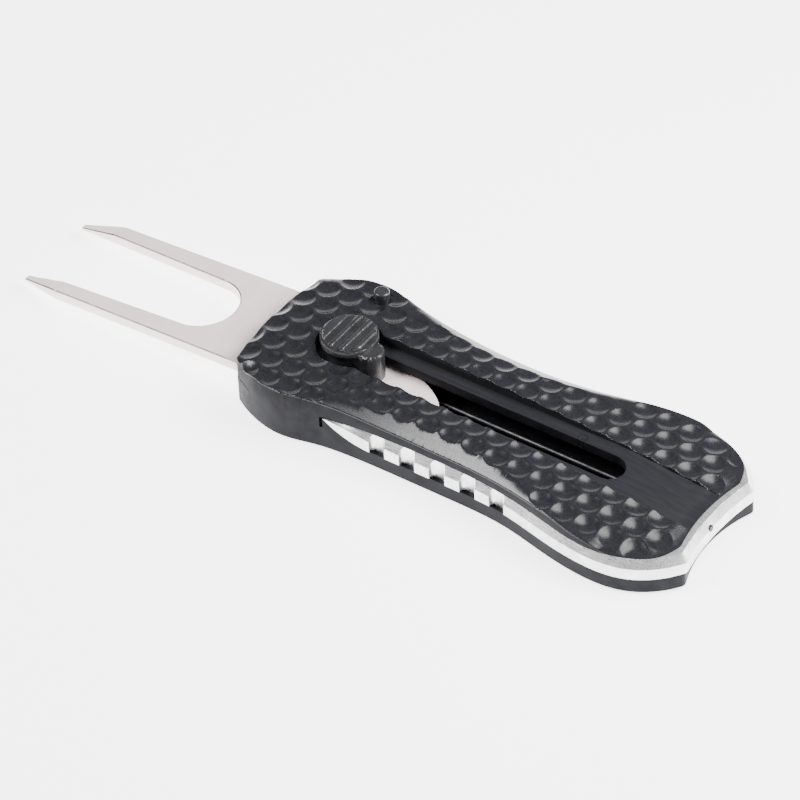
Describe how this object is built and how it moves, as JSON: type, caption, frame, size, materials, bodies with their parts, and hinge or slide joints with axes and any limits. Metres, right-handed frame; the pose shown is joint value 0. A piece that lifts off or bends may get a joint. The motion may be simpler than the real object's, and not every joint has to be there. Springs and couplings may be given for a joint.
{
  "type": "divot repair tool",
  "caption": "Flat waisted golf divot repair tool: a two-prong fork slides out of a dimpled handle, moved by a ribbed thumb button and released by a push pin",
  "frame": {"origin": "middle of the bounding box, on the flat underside", "axes": "+X from the fork tips to the tail of the handle, +Y to the side of the lock pin, +Z out of the dimpled top"},
  "size_m": [0.1144, 0.0296, 0.011],
  "materials": {
    "shell": "satin black",
    "frame": "bright polished",
    "blade": "fine satin",
    "button": "gloss black",
    "fastener": "black oxide",
    "polished_steel": "ground and polished",
    "spring_steel": "drawn wire",
    "inner_plastic": "moulded low-friction plastic",
    "bumper": "matt elastomer"
  },
  "bodies": {
    "housing": {"bottom_shell": "shell", "top_shell": "shell", "center_frame": "frame", "housing_screws": "fastener", "frame_dowels": "fastener", "guide_rods": "polished_steel", "tail_block": "inner_plastic", "detent_pin": "fastener", "drive_spring": "spring_steel", "lock_spring": "spring_steel", "lock_spring_cup": "inner_plastic", "front_bumper": "bumper", "rear_bumper": "bumper", "glide_strips": "inner_plastic", "tail_pin": "fastener"},
    "fork": {"fork_blade": "blade", "thumb_button": "button", "button_stem": "polished_steel", "stem_washer": "inner_plastic", "slide_carriage": "inner_plastic", "carriage_clip": "spring_steel"},
    "lock": {"lock_pin": "button", "lock_collar": "polished_steel"}
  },
  "joints": [
    {"name": "fork_slide", "type": "slide", "parent": "housing", "child": "fork", "axis": [1, 0, 0], "range_m": [0, 0.0395], "stiffness_N_per_m": 30, "springref_m": -0.02, "deforming": ["drive_spring"]},
    {"name": "lock_push", "type": "slide", "parent": "housing", "child": "lock", "axis": [0, 0, -1], "range_m": [0, 0.0012], "stiffness_N_per_m": 400, "springref_m": -0.001, "deforming": ["lock_spring"]}
  ]
}
